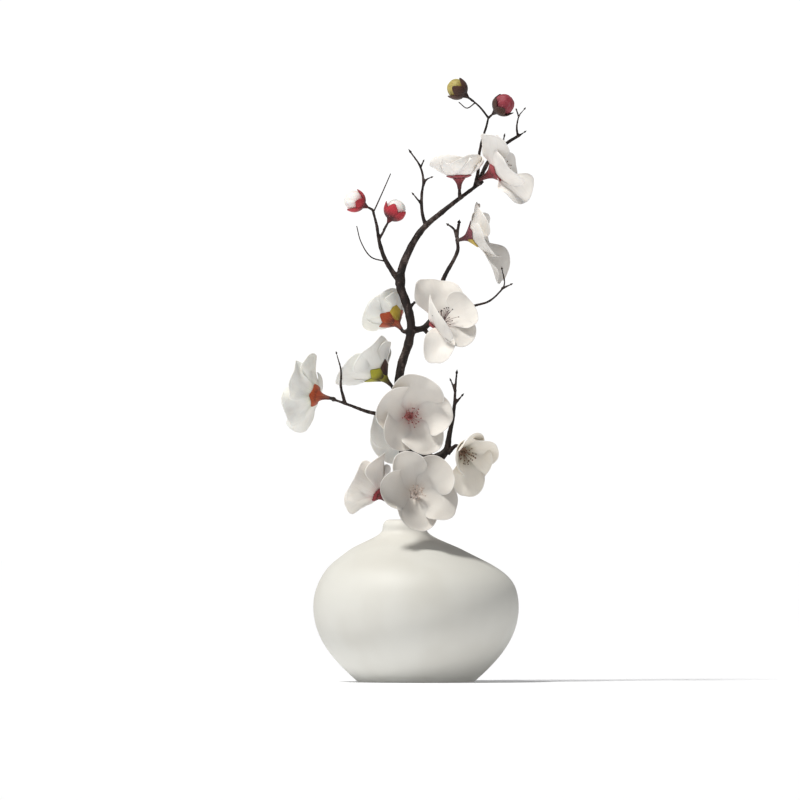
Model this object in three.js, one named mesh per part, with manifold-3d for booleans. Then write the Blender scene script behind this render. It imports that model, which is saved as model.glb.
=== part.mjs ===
// A branch of white plum blossom standing in a squat matt vase with a narrow neck.
// Millimetres, +Z up. The origin is the middle of the vase's foot, where it rests on the table.
// The arrangement is looked at from -Y.
import * as THREE from "three";
import { mergeVertices } from "three/addons/utils/BufferGeometryUtils.js";
import Module from "manifold-3d";

const wasm = await Module();
wasm.setup();

const { lerp, clamp, smoothstep, degToRad } = THREE.MathUtils;

// ---- Driving dimensions ----

const GAP = 0.3; // air left between pieces that touch on the real thing

const vase = {
  height: 97.5,
  footRadius: 35.5,
  footEdge: 0.6,
  bellyRadius: 61.8,
  bellyHeight: 45,
  neckRadius: 13.2,
  lipRadius: 9, // the neck rounds in to its lip
  neckLean: -6.9, // the neck's middle stands this far left of the foot's
  wall: 3.6,
  floor: 5.6,
  sides: 24,
};

const petalShape = {
  length: 24.5,
  width: 29.5,
  thickness: 0.8,
  clawRadius: 2.1, // where a petal starts, from the bloom's axis
  claw: 0.32, // how much of its width is left there
  cup: 0.75, // radians that half its width is bent through
  roll: 13, // degrees it is turned about its own length, so that one edge slips under the next petal
  grid: [3, 4],
};

const receptacle = { radius: 3.9, height: 1.8, sink: 0.6 };

const calyxShape = {
  stalkRadius: 1.15,
  funnelRadius: 3.2,
  depth: 6.2,
  drop: 1.5, // from the bloom's middle down to the funnel's top
  reach: 8.4, // from the axis to a sepal's tip
  notch: 0.42, // and to the notch between two sepals, as a share of that
  follow: 0.5, // a sepal's slope, as a share of a petal's
  thickness: 0.8,
  segments: 15,
};

const stamenShape = {
  count: 6,
  long: 11.5,
  short: 9,
  filament: 0.35,
  anther: 0.85,
  bossRadius: 1.25,
  bossHeight: 1.5,
};

const budShape = {
  fold: 0.05, // how far its petals' middles stand out, as a share of its radius
  clearance: 0.9, // between the ball and the sepals' inner faces
  thickness: 0.8,
  lobes: 0.7,
  foot: 0.15, // length of the short foot under it, as a share of its outer radius
  sides: 15,
};

// ---- Where the branch runs: points in millimetres, and the radius at each end ----

const limbs = [
  { // the stem, from the vase's floor to the fork
    radii: [3, 2.5], sides: 7, steps: 16,
    path: [
      [15, 7, 6.6], [7, 4, 50], [-5, 0, 95], [-6.4, 2, 121], [-8.2, 3.5, 145], [-10.8, 3.5, 172],
      [-9.2, 3, 188], [-4, 1.5, 205], [-2.9, 0.5, 214], [-5.4, -0.5, 226], [-9.4, -0.5, 237],
      [-10.2, 0, 245],
    ],
  },
  { // its right fork, up to the bloom at the tip
    radii: [2.6, 0.95], sides: 6, steps: 11,
    path: [
      [-9.6, 0, 238], [-8.8, 0.6, 247], [-5, 2, 257], [3.6, 5, 271.4], [15.4, 7, 281.8], [29, 7.5, 292.4],
      [40.4, 5.8, 300.6],
    ],
  },
  { // its left fork, up to the outer bud
    radii: [1.7, 0.75], sides: 5, steps: 8,
    path: [
      [-9.8, 0, 240], [-15, -1.5, 247.6], [-19, -2.5, 254.6], [-22, -3, 264], [-23.6, -4, 274],
      [-26.2, -5, 284],
    ],
  },
  { radii: [0.9, 0.7], sides: 4, steps: 1, path: [[-22.2, -3, 265.6], [-18.8, -2, 271.4]] },
  { // hair-thin shoots off the left fork
    radii: [0.45, 0.3], sides: 3, steps: 5,
    path: [[-18.6, -2.4, 252.4], [-27, -4, 255], [-33, -5, 264], [-35.6, -5.4, 273.6]],
  },
  {
    radii: [0.45, 0.3], sides: 3, steps: 3,
    path: [[-25.6, -4.8, 281.6], [-20, -4, 294], [-15.2, -3, 305]],
  },
  { // the bare twig between the forks, and its spurs
    radii: [1.15, 0.55], sides: 5, steps: 6,
    path: [[6.2, 6, 272.6], [3.8, 5, 281], [3.4, 4, 292], [4.4, 3, 301], [2.4, 2, 309.6], [-3, 1, 317.6]],
  },
  { radii: [0.8, 0.45], sides: 4, steps: 1, path: [[3.4, 4, 286.6], [-1.4, 2.6, 292.4]] },
  {
    radii: [0.85, 0.45], sides: 4, steps: 2,
    path: [[4.3, 3.2, 298], [6.2, 3.4, 301.4], [9, 3.6, 302.8]],
  },
  { radii: [0.6, 0.4], sides: 3, steps: 1, path: [[2.7, 2.2, 308.6], [4.4, 2.6, 312.4]] },
  { // the twig up to the two top buds, with a hair-thin shoot
    radii: [1.2, 0.65], sides: 5, steps: 6,
    path: [
      [35.4, 7.4, 297.2], [37.2, 11, 306], [37.6, 11.4, 314], [39.6, 9.6, 325], [42.4, 7.6, 334],
      [43.6, 7, 339.4],
    ],
  },
  { radii: [0.65, 0.5], sides: 4, steps: 2, path: [[43.6, 7, 338.4], [38.4, 7.4, 345], [34, 7.8, 349]] },
  {
    radii: [0.4, 0.3], sides: 3, steps: 3,
    path: [[35.4, 7.6, 347.6], [30.6, 8.4, 344.4], [26.2, 9, 347.6]],
  },
  { // the twig that passes behind the bloom at the tip
    radii: [1.4, 0.95], sides: 5, steps: 5,
    path: [
      [37.6, 7.4, 298.8], [40.6, 16, 307], [47, 21.4, 317.6], [54, 18.4, 323.2], [62.4, 11.4, 328.4],
    ],
  },
  {
    radii: [0.75, 0.4], sides: 4, steps: 3,
    path: [[61, 11.4, 327.4], [60.6, 11, 334], [62, 10.6, 340], [65, 10.4, 343.8]],
  },
  { radii: [0.5, 0.4], sides: 3, steps: 1, path: [[61.8, 10.8, 339], [60.4, 11, 343.2]] },
  { radii: [0.75, 0.42], sides: 3, steps: 1, path: [[61.4, 11.2, 327.6], [65, 11.4, 330]] },
  { radii: [0.9, 0.45], sides: 4, steps: 1, path: [[51.8, 19.2, 321.8], [53, 18, 327.4]] },
  { // the limb behind the middle bloom, then up to the right-hand bloom
    radii: [1.9, 0.9], sides: 6, steps: 9,
    path: [
      [-3.4, 0.6, 210.6], [5.4, 3.6, 213], [12, 7, 223], [16.6, 9, 242], [22.8, 7, 253.6],
      [25.2, 5.4, 259.6], [24.6, 5, 267], [25.8, 4.6, 275.4],
    ],
  },
  { radii: [0.9, 0.6], sides: 4, steps: 2, path: [[24.4, 5, 267], [22.6, 4.6, 272], [19.6, 4.4, 274.2]] },
  { // the thin twig out to the right
    radii: [1.1, 0.45], sides: 4, steps: 9,
    path: [
      [10.6, 5.4, 220], [22, 9, 222], [35, 9, 225.8], [43.6, 4, 228.4], [49.6, -1, 233.4],
      [53, -5, 238.6], [51.6, -7, 247.6],
    ],
  },
  { radii: [0.85, 0.45], sides: 4, steps: 1, path: [[51.2, -3, 235.8], [56.6, -3.4, 238.4]] },
  { radii: [1.6, 0.7], sides: 4, steps: 1, path: [[-4.6, -0.4, 224], [-1.2, -2.2, 227.4]] },
  { // the long twig out to the far left bloom, with an upright shoot
    radii: [1.5, 0.75], sides: 5, steps: 7,
    path: [[-8.8, 3.2, 153], [-18, 1, 159.2], [-30.4, -2, 162.6], [-40, -3, 166.2], [-50.4, -3, 169.8]],
  },
  {
    radii: [1.1, 0.42], sides: 4, steps: 4,
    path: [[-42.4, -3, 166.8], [-45, -8.4, 177], [-45, -12.4, 187], [-47.6, -12.6, 197]],
  },
  { // the low right limb, which ends in a bare upright twig with two spurs
    radii: [2.4, 0.6], sides: 6, steps: 13,
    path: [
      [-7.4, 3, 142], [1, 4.4, 139.4], [7.6, 4.6, 135.6], [14.8, 3.4, 134], [18.6, 2.5, 140],
      [20.4, 2, 150], [22.2, 1.6, 159], [23.2, 1.4, 168], [23.6, 1.4, 177], [24.4, 1.4, 185],
    ],
  },
  {
    radii: [2.5, 0.9], sides: 5, steps: 3,
    path: [[12.4, 3.8, 134.2], [18, 2.8, 138.6], [20.1, 2.2, 149], [22, 1.8, 158]],
  },
  { radii: [0.9, 0.45], sides: 4, steps: 1, path: [[23.6, 1.4, 174.6], [21, 1, 180.6]] },
  { radii: [0.95, 0.5], sides: 4, steps: 1, path: [[23.2, 1.4, 166.8], [27.4, 2, 171.6]] },
  { radii: [1.5, 0.6], sides: 4, steps: 1, path: [[-6.2, 2.4, 118.8], [-12.2, -1.4, 122]] },
];

// ---- Where the blooms sit ----
// open is how far a petal stands up from the bloom's flat, in degrees, at its claw and at its tip.
// A petal is [degrees round the bloom, where 90 is up, then what sets it apart from the others].

const blooms = [
  {
    name: "tip_bloom", sepals: "red", at: [45, 1, 305], faces: [0.88, -0.06, 0.47],
    root: [38.8, 6, 299.4], open: [44, 12], spread: 20, calyx: { reach: 7.4 },
    petals: [
      [126, { open: [34, 6], length: 1.12, width: 0.72, roll: 42 }], [50, { length: 0.9 }], [-24, {}],
      [-94, { open: [36, 4], length: 1.06, width: 1.1, roll: 22 }],
      [-166, { open: [50, 24], length: 0.86 }],
    ],
  },
  {
    name: "top_bloom", sepals: "red", at: [25.8, -2, 302.8], faces: [-0.04, 0.02, 1],
    root: [27, 7.4, 291], open: [8, 88], spread: 26, calyx: { depth: 5.4, reach: 9.4 },
    petals: [
      [18, { length: 0.74 }], [90, { length: 0.76 }], [162, { length: 0.8 }],
      [232, { length: 0.82, width: 1.1 }], [306, { length: 0.8, width: 1.1 }],
    ],
  },
  {
    name: "right_bloom", sepals: "red", at: [31.4, 1.6, 267], faces: [0.93, -0.16, 0.3],
    root: [25, 5, 265.4], open: [44, 14], spread: 18, calyx: { depth: 3.4, reach: 8.4 },
    petals: [
      [130, { open: [48, 30], length: 0.86, width: 0.92 }], [58, { length: 0.76 }],
      [-10, { length: 0.74 }], [-68, { open: [37, -8], length: 1.4, width: 1.16 }],
      [216, { open: [40, 28], length: 0.86, width: 0.84 }],
    ],
  },
  {
    name: "middle_bloom", sepals: "red", at: [14.6, -7, 213.4], faces: [0.2, -0.68, 0.7],
    root: [4.6, 3, 212], open: [42, 6], spread: 22,
    petals: [
      [94, { length: 1.2, width: 1.2 }], [18, { open: [38, 6], length: 0.92 }],
      [-50, { open: [20, -14], length: 0.88, width: 0.9 }],
      [-106, { open: [12, -40], length: 1.1, width: 0.7 }],
      [-130, { open: [34, 100], length: 0.98, width: 1.2, roll: -34 }],
    ],
  },
  {
    name: "shaded_bloom", sepals: "orange", at: [-12, 6, 215.6], faces: [-0.52, 0.55, 0.62],
    root: [-4.4, 0.6, 210.6], open: [49, 38], spread: 16, calyx: { depth: 4.6, reach: 10 },
    petals: [
      [44, { length: 0.78 }], [116, { length: 0.68 }], [188, { length: 0.62 }], [260, { length: 0.64 }],
      [-28, { length: 0.78 }],
    ],
  },
  {
    name: "left_bloom", sepals: "olive", at: [-19.4, 2, 182.6], faces: [-0.68, 0.26, 0.7],
    root: [-10.4, 3.4, 176], open: [48, 26], spread: 14, roll: 6, calyx: { depth: 4.8, reach: 10 },
    petals: [
      [36, { length: 0.98, width: 1.12 }], [-42, { length: 1.14, width: 1.16 }], [-108, { length: 0.96 }],
      [180, { length: 0.8 }], [108, { length: 0.84 }],
    ],
  },
  {
    name: "far_left_bloom", sepals: "orange", at: [-58.6, -2, 171.6], faces: [-0.88, 0.44, 0.16],
    root: [-49.4, -3, 169.6], open: [38, 8], spread: 15, calyx: { reach: 6.4 },
    petals: [
      [108, { length: 1.02 }], [36, {}], [-36, {}], [-108, { length: 1.04 }], [180, { length: 0.9 }],
    ],
  },
  {
    name: "large_bloom", sepals: "red", at: [-4.4, -11, 159.6], faces: [0.26, -0.96, -0.02],
    root: [-8.8, 2.6, 154], open: [44, 16], spread: 24, roll: -13,
    petals: [
      [84, { length: 1.12, width: 1.2 }], [8, { length: 1.04 }], [-64, { length: 1.1 }],
      [-134, { length: 1.02 }], [158, { length: 1.04, width: 1.1 }],
    ],
  },
  {
    name: "back_bloom", sepals: "orange", at: [-5.6, 16, 149.6], faces: [-0.5, 0.86, 0.04],
    root: [-8.2, 4, 147], open: [44, 10], spread: 20,
    petals: [
      [90, { length: 0.88 }], [18, { length: 0.84 }], [-54, { length: 0.84 }], [-126, { length: 0.88 }],
      [162, { length: 0.84 }],
    ],
  },
  {
    name: "mouth_bloom", sepals: "red", at: [-1, -22, 112.8], faces: [0.26, -0.94, 0.2],
    root: [-6, 1.2, 112], open: [36, 0], spread: 24, roll: -12, calyx: { reach: 10.4 },
    petals: [
      [110, { length: 1.02, width: 0.8 }], [42, { length: 1.04 }], [-25, { length: 1.04 }],
      [-98, { length: 0.98 }], [180, { open: [42, 16], length: 1.14, width: 0.9 }],
    ],
  },
  {
    name: "low_left_bloom", sepals: "red", at: [-22, 5, 112], faces: [-0.72, 0.36, 0.56],
    root: [-7.4, 1, 104], open: [36, 16], spread: 12, calyx: { depth: 3.2, reach: 4.4, funnelRadius: 2 },
    petals: [
      [82, { length: 1 }], [10, { length: 0.96 }], [-62, { length: 0.8 }], [-134, { length: 0.62 }],
      [154, { length: 0.74 }],
    ],
  },
  {
    name: "low_right_bloom", sepals: "red", at: [27.8, -7, 138.6], faces: [0.4, -0.82, -0.34],
    root: [19, 2.4, 137], open: [56, 34], spread: 14, calyx: { depth: 3.6, reach: 6.6 },
    petals: [
      [104, { open: [52, 44], length: 1, width: 0.7 }], [30, { length: 0.9, width: 0.88 }],
      [-42, { length: 0.8, width: 0.84 }], [-92, { open: [54, 14], length: 1.1, width: 0.78 }],
      [176, { open: [60, 56], length: 0.84, width: 0.84 }],
    ],
  },
];

const buds = [
  { name: "outer_bud", at: [-37, -7, 288.8], radius: 5.9, root: [-25.8, -5, 283.2], petals: "white" },
  { name: "inner_bud", at: [-12.4, 1.6, 283.4], radius: 6, root: [-19.4, -2.2, 271], petals: "white" },
  { name: "olive_bud", at: [24.4, 9, 356.2], radius: 5.7, root: [34.6, 7.7, 348.4], petals: "olive" },
  { name: "crimson_bud", at: [52.8, 3.4, 346.6], radius: 6.1, root: [43.4, 7, 338.6], petals: "crimson" },
];

// ---- Materials ----

const finish = (color, roughness) => new THREE.MeshStandardMaterial({ color, roughness, metalness: 0 });
const materials = {
  vase: finish(0xe4e3dc, 0.55),
  bark: finish(0x2e211c, 0.75),
  petal: finish(0xeeeae4, 0.6),
  stamen: finish(0x8a6a5c, 0.6),
  sepals: { red: finish(0x8e2430, 0.6), orange: finish(0xa8401e, 0.6), olive: finish(0x8a8424, 0.6) },
  budPetals: { white: finish(0xe9dfd8, 0.6), olive: finish(0xb89c4a, 0.6), crimson: finish(0x9c3040, 0.6) },
  budSepals: finish(0x4c1c1c, 0.65),
};

// ---- Solids ----

// A closed three.js geometry as a manifold-3d solid.
function solid(geometry) {
  const bare = geometry.clone();
  bare.deleteAttribute("normal");
  bare.deleteAttribute("uv");
  const merged = mergeVertices(bare, 1e-4);
  return new wasm.Manifold(
    new wasm.Mesh({
      numProp: 3,
      vertProperties: new Float32Array(merged.attributes.position.array),
      triVerts: new Uint32Array(merged.index.array),
    }),
  );
}

function meshOf(made, name, material) {
  const data = made.getMesh();
  const geometry = new THREE.BufferGeometry();
  geometry.setAttribute("position", new THREE.BufferAttribute(data.vertProperties, 3));
  geometry.setIndex(new THREE.BufferAttribute(data.triVerts, 1));
  geometry.computeVertexNormals();
  const mesh = new THREE.Mesh(geometry, material);
  mesh.name = name;
  return mesh;
}

// Moves every vertex of a geometry to where a rule says.
function warp(geometry, rule) {
  const place = geometry.attributes.position;
  const point = new THREE.Vector3();
  for (let i = 0; i < place.count; i++) {
    const moved = rule(point.fromBufferAttribute(place, i));
    place.setXYZ(i, moved.x, moved.y, moved.z);
  }
  return geometry;
}

// Turned about +Z: a cylinder, a ball, or a profile of [radius, height] points.
const turned = (geometry) => geometry.rotateX(Math.PI / 2);
const lathe = (profile, sides) =>
  turned(new THREE.LatheGeometry(profile.map(([r, z]) => new THREE.Vector2(r, z)), sides));

const join = (solids) => wasm.Manifold.union(solids);

// ---- Vase ----

function makeVase() {
  const { height, footRadius, footEdge, bellyRadius, bellyHeight, neckRadius } = vase;
  const { lipRadius, neckLean, wall, floor } = vase;
  const mouth = lipRadius - wall / 2;
  const inside = bellyRadius - wall;
  const outline = new THREE.Path();
  outline.moveTo(footRadius - footEdge, 0);
  outline.lineTo(footRadius, footEdge);
  outline.bezierCurveTo(footRadius + 10.5, 10, bellyRadius, 24, bellyRadius, bellyHeight);
  outline.bezierCurveTo(bellyRadius, 66, 47, 71, 33, 80);
  outline.bezierCurveTo(21.4, 85.6, neckRadius, 88, neckRadius, height - 5.5);
  outline.bezierCurveTo(neckRadius, height - 2, lipRadius + 2.5, height, lipRadius, height);
  outline.bezierCurveTo(lipRadius - 1, height, mouth, height - 0.6, mouth, height - 2);
  outline.bezierCurveTo(mouth, 86, 20, 82.5, 31, 76.4);
  outline.bezierCurveTo(45, 68, inside, 63, inside, bellyHeight);
  outline.bezierCurveTo(inside, 24, 42, floor, 22, floor);
  const points = outline.getPoints(3).map((p) => [p.x, p.y]);
  const body = lathe([[0, 0], ...points, [0, floor]], vase.sides);
  const lean = (z) => neckLean * smoothstep(z, bellyHeight + 13, height - 11.5);
  return solid(warp(body, (p) => p.setX(p.x + lean(p.z))));
}

// ---- Branch ----

// A tapering tube: a cylinder whose rings are carried along a curve through the points.
function limb({ path, radii, sides, steps }) {
  const curve = new THREE.CatmullRomCurve3(path.map((p) => new THREE.Vector3(...p)));
  const frames = curve.computeFrenetFrames(steps, false);
  const tube = new THREE.CylinderGeometry(1, 1, 1, sides, steps);
  warp(tube, (p) => {
    const along = p.y + 0.5;
    const ring = Math.round(along * steps);
    const radius = lerp(radii[0], radii[1], along);
    return curve
      .getPointAt(along)
      .addScaledVector(frames.normals[ring], p.z * radius)
      .addScaledVector(frames.binormals[ring], p.x * radius);
  });
  return solid(tube);
}

// The stalk that carries a bloom or a bud, from its twig to just short of its calyx.
function stalk({ at, root }, faces, back, radii) {
  const facing = new THREE.Vector3(...faces).normalize();
  const end = new THREE.Vector3(...at).addScaledVector(facing, -back);
  const bow = end.clone().addScaledVector(facing, -0.45 * end.distanceTo(new THREE.Vector3(...root)));
  return { path: [root, bow.toArray(), end.toArray()], radii, sides: 4, steps: 3 };
}

// ---- Blooms ----

// A matrix that turns +Z to face a way, with a bloom's own 90 degrees pointing up, and moves to a place.
function stance(at, faces) {
  const z = new THREE.Vector3(...faces).normalize();
  const guide = Math.abs(z.z) > 0.9 ? new THREE.Vector3(0, 1, 0) : new THREE.Vector3(0, 0, 1);
  const x = new THREE.Vector3().crossVectors(guide, z).normalize();
  const y = new THREE.Vector3().crossVectors(z, x);
  return new THREE.Matrix4().makeBasis(x, y, z).setPosition(...at).toArray();
}

// Both faces of a grid, split along the same diagonals, with a rim that closes them.
function slab([columns, rows], thickness) {
  const plane = new THREE.PlaneGeometry(2, 2, columns, rows);
  const count = plane.attributes.position.count;
  const at = (column, row) => row * (columns + 1) + column;
  const loop = [];
  for (let i = 0; i < columns; i++) loop.push(at(i, rows));
  for (let i = rows; i > 0; i--) loop.push(at(columns, i));
  for (let i = columns; i > 0; i--) loop.push(at(i, 0));
  for (let i = 0; i < rows; i++) loop.push(at(0, i));
  const front = Array.from(plane.index.array);
  const back = front.map((corner) => corner + count).reverse();
  const rim = loop.flatMap((p, i) => {
    const q = loop[(i + 1) % loop.length];
    return [p + count, q + count, q, p + count, q, p];
  });
  const level = (z) => Array.from(plane.clone().translate(0, 0, z).attributes.position.array);
  const points = [...level(thickness / 2), ...level(-thickness / 2)];
  const made = new THREE.BufferGeometry();
  made.setAttribute("position", new THREE.Float32BufferAttribute(points, 3));
  made.setIndex([...front, ...back, ...rim]);
  return made;
}

// One petal: a square slab drawn into a disc, narrowed to a claw, and bent along and across.
function blade(changes) {
  const { clawRadius, claw, grid, thickness } = petalShape;
  const length = petalShape.length * (changes.length ?? 1);
  const half = (petalShape.width * (changes.width ?? 1)) / 2;
  const [from, to] = changes.open.map(degToRad);
  const cup = petalShape.cup / half;
  const closed = Math.max(0, changes.open[0] - 46); // a closed bloom's petals overlap more
  const turnedBy = changes.roll ?? petalShape.roll;
  const roll = degToRad(turnedBy + (Math.sign(turnedBy) * closed) / 2);
  const bend = (to - from || 1e-6) / length;
  return warp(slab(grid, thickness), ({ x, y, z }) => {
    const across = y * Math.sqrt(1 - (x * x) / 2);
    const along = (1 + x * Math.sqrt(1 - (y * y) / 2)) / 2;
    const side = across * half * lerp(claw, 1, smoothstep(along, 0, 0.6));
    const turn = from + bend * length * along;
    const out = clawRadius + (Math.sin(turn) - Math.sin(from)) / bend;
    const up = (Math.cos(from) - Math.cos(turn)) / bend;
    const lean = cup * side * smoothstep(along, 0, 0.35);
    const lift = ((1 - Math.cos(cup * side)) / cup) * smoothstep(along, 0, 0.5);
    const level = lift + z * Math.cos(lean) + side * Math.sin(roll);
    const wide = side * Math.cos(roll) * (1 - 0.12 * lean * lean) - z * Math.sin(lean);
    return new THREE.Vector3(out - level * Math.sin(turn), wide, up + level * Math.cos(turn));
  });
}

function bloomPetals(bloom) {
  const { radius, height, sink } = receptacle;
  const cone = turned(new THREE.CylinderGeometry(radius, radius * 0.75, height, 5));
  cone.translate(0, 0, height / 2 - sink).rotateZ(degToRad(bloom.petals[0][0] - 54));
  const pieces = [solid(cone)];
  for (const [round, changes] of bloom.petals) {
    const petal = blade({ open: bloom.open, roll: bloom.roll, ...changes });
    pieces.push(solid(petal.rotateZ(degToRad(round))));
  }
  return join(pieces).transform(stance(bloom.at, bloom.faces));
}

// A funnel that ends in five sepals: one turned profile, with its edge drawn in between the lobes.
function bloomCalyx(bloom) {
  const { stalkRadius, drop, notch, follow, thickness, segments } = calyxShape;
  const { depth, reach, funnelRadius } = { ...calyxShape, ...bloom.calyx };
  const lowest = Math.min(...bloom.petals.map(([, changes]) => (changes.open ?? bloom.open)[0]));
  const rise = Math.tan(degToRad(lowest * follow));
  const flat = funnelRadius / 2; // the sepals rise from here outwards
  const funnel = lathe(
    [
      [0, -depth],
      [stalkRadius, -depth],
      [funnelRadius, -thickness],
      [reach, -thickness],
      [reach, 0],
      [flat, 0],
      [0, 0],
    ],
    segments,
  );
  const first = degToRad(bloom.petals[0][0] + 36);
  warp(funnel, (p) => {
    const lobe = Math.abs(Math.cos(2.5 * (Math.atan2(p.y, p.x) - first))) ** 0.7;
    const radius = Math.hypot(p.x, p.y);
    const share = radius > funnelRadius + 0.1 ? lerp(notch, 1, lobe) : 1;
    const lift = p.z < 0.1 - depth ? 0 : Math.max(0, radius * share - flat) * rise;
    return p.set(p.x * share, p.y * share, p.z + lift - drop);
  });
  return solid(funnel).transform(stance(bloom.at, bloom.faces));
}

// Threads that end in wider anthers, fanned out round a small boss.
function bloomStamens(bloom) {
  const { count, long, short, filament, anther, bossRadius, bossHeight } = stamenShape;
  const seat = receptacle.height - receptacle.sink + GAP;
  const boss = turned(new THREE.CylinderGeometry(bossRadius * 0.6, bossRadius, bossHeight, 6));
  const pieces = [solid(boss.translate(0, 0, seat + bossHeight / 2))];
  for (let i = 0; i < count; i++) {
    const tilt = degToRad(i === 0 ? 4 : bloom.spread * (i % 2 ? 1 : 0.5));
    const length = i % 2 ? short : long;
    const thread = new THREE.CylinderGeometry(anther, filament, length, 3, 2).translate(0, length / 2, 0);
    const neck = (p) => (Math.abs(p.y - length / 2) < 0.1 ? p.set(p.x / 2, length * 0.82, p.z / 2) : p);
    turned(warp(thread, neck)).rotateY(tilt).translate(0.3, 0, seat + bossHeight / 3);
    pieces.push(solid(thread.rotateZ(degToRad((360 / (count - 1)) * i + bloom.petals[0][0]))));
  }
  return join(pieces).transform(stance(bloom.at, bloom.faces));
}

// ---- Buds ----

const budFacing = ({ at, root }) => at.map((value, i) => value - root[i]);

// Petals still wrapped round each other: a ball with five low folds.
function budPetals(bud) {
  const { radius } = bud;
  const ball = turned(new THREE.SphereGeometry(radius, budShape.sides, 6));
  warp(ball, (p) => {
    const fold = Math.abs(Math.cos(2.5 * Math.atan2(p.y, p.x)));
    return p.multiplyScalar(1 + budShape.fold * fold * smoothstep(p.z, -radius, radius));
  });
  return solid(ball).transform(stance(bud.at, budFacing(bud)));
}

const budInner = ({ radius }) => radius * (1 + budShape.fold) + budShape.clearance;
const budReach = (bud) => (budInner(bud) + budShape.thickness) * (1 + budShape.foot);

// A bowl round the ball's lower half, its rim drawn up into five sepals, on a short foot.
function budCalyx(bud) {
  const inner = budInner(bud);
  const outer = inner + budShape.thickness;
  const levels = [Math.PI / 6, Math.PI / 3, Math.PI / 2]; // angles up from the bottom
  const on = (radius, level) => [radius * Math.sin(level), -radius * Math.cos(level)];
  const bowl = lathe(
    [
      [0, -budReach(bud)],
      [0.85, -budReach(bud)],
      ...levels.map((level) => on(outer, level)),
      ...levels.toReversed().map((level) => on(inner, level)),
      [0, -inner],
    ],
    budShape.sides,
  );
  warp(bowl, (p) => {
    const radius = p.length();
    const level = Math.acos(clamp(-p.z / radius, -1, 1));
    if (radius > outer + 0.1 || level < 0.1) return p;
    const round = Math.atan2(p.y, p.x);
    const lobe = Math.abs(Math.cos(2.5 * round)) ** 0.8 - 0.5;
    const opened = level * (1 + budShape.lobes * lobe * smoothstep(level, 0.4, Math.PI / 2));
    const [out, height] = on(radius, opened);
    return p.set(out * Math.cos(round), out * Math.sin(round), height);
  });
  return solid(bowl).transform(stance(bud.at, budFacing(bud)));
}

// ---- The arrangement ----

const arrangement = new THREE.Group();
const add = (made, name, material) => arrangement.add(meshOf(made, name, material));

add(makeVase(), "vase", materials.vase);

const calyxBack = ({ calyx }) => calyxShape.drop + (calyx?.depth ?? calyxShape.depth) + GAP;
const stalks = [
  ...blooms.map((bloom) => stalk(bloom, bloom.faces, calyxBack(bloom), [1.25, 1])),
  ...buds.map((bud) => stalk(bud, budFacing(bud), budReach(bud) + GAP, [0.7, 0.75])),
];
add(join([...limbs, ...stalks].map(limb)), "branch", materials.bark);

for (const bloom of blooms) {
  add(bloomPetals(bloom), `${bloom.name}_petals`, materials.petal);
  add(bloomCalyx(bloom), `${bloom.name}_calyx`, materials.sepals[bloom.sepals]);
  add(bloomStamens(bloom), `${bloom.name}_stamens`, materials.stamen);
}
for (const bud of buds) {
  add(budPetals(bud), `${bud.name}_petals`, materials.budPetals[bud.petals]);
  add(budCalyx(bud), `${bud.name}_calyx`, materials.budSepals);
}

export default arrangement;
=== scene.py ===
import math
import random

import bmesh
import bpy
from mathutils import Matrix, Vector, noise


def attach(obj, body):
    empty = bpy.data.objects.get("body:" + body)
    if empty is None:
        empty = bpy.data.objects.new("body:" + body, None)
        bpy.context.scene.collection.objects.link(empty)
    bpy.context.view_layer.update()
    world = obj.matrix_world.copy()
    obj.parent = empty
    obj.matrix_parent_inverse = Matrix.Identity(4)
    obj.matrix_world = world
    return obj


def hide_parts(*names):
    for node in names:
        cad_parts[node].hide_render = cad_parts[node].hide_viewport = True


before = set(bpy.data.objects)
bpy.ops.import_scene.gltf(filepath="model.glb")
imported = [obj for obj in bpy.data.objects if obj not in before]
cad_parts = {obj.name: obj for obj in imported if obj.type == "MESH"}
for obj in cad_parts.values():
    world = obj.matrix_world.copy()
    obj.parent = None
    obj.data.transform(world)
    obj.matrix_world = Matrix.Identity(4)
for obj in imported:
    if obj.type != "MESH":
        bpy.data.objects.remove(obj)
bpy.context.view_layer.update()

# Every length below is in millimetres until finishPiece, unless its note says otherwise.


def lerp(a, b, share):
    return a + (b - a) * share


def smooth(value, low, high):
    share = min(max((value - low) / (high - low), 0), 1)
    return share * share * (3 - 2 * share)


def bezier(points, share):
    points = [Vector(point) for point in points]
    while len(points) > 1:
        points = [a.lerp(b, share) for a, b in zip(points, points[1:])]
    return points[0]


def reshape(bm, rule):
    for vert in bm.verts:
        vert.co = rule(vert.co)


def mapUv(bm, rule):
    # each point's place on the UV map
    layer = bm.loops.layers.uv.new("UVMap")
    for face in bm.faces:
        for loop in face.loops:
            loop[layer].uv = rule(loop.vert.co)


def unitTube(sides, cuts):
    # a tube of radius and length 1 about the upright axis, cut across at even steps
    bm = bmesh.new()
    bmesh.ops.create_cone(bm, cap_ends=True, segments=sides, radius1=1, radius2=1, depth=1)
    uprights = [edge for edge in bm.edges if abs(edge.verts[0].co.z - edge.verts[1].co.z) > 0.5]
    bmesh.ops.subdivide_edges(bm, edges=uprights, cuts=cuts)
    return bm


def stance(at, faces):
    # turns +Z to face a way, with 90 degrees round the bloom pointing up
    z = Vector(faces).normalized()
    guide = Vector((0, 1, 0)) if abs(z.z) > 0.9 else Vector((0, 0, 1))
    x = guide.cross(z).normalized()
    turn = Matrix((x, z.cross(x), z)).transposed().to_4x4()
    return Matrix.Translation(at) @ turn


def putAt(bm, at, faces):
    bmesh.ops.transform(bm, matrix=stance(at, faces), verts=bm.verts)


def joinInto(whole, part):
    # adds one bmesh to another and frees it
    carrier = bpy.data.meshes.new("carrier")
    part.to_mesh(carrier)
    part.free()
    whole.from_mesh(carrier)
    bpy.data.meshes.remove(carrier)


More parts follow.
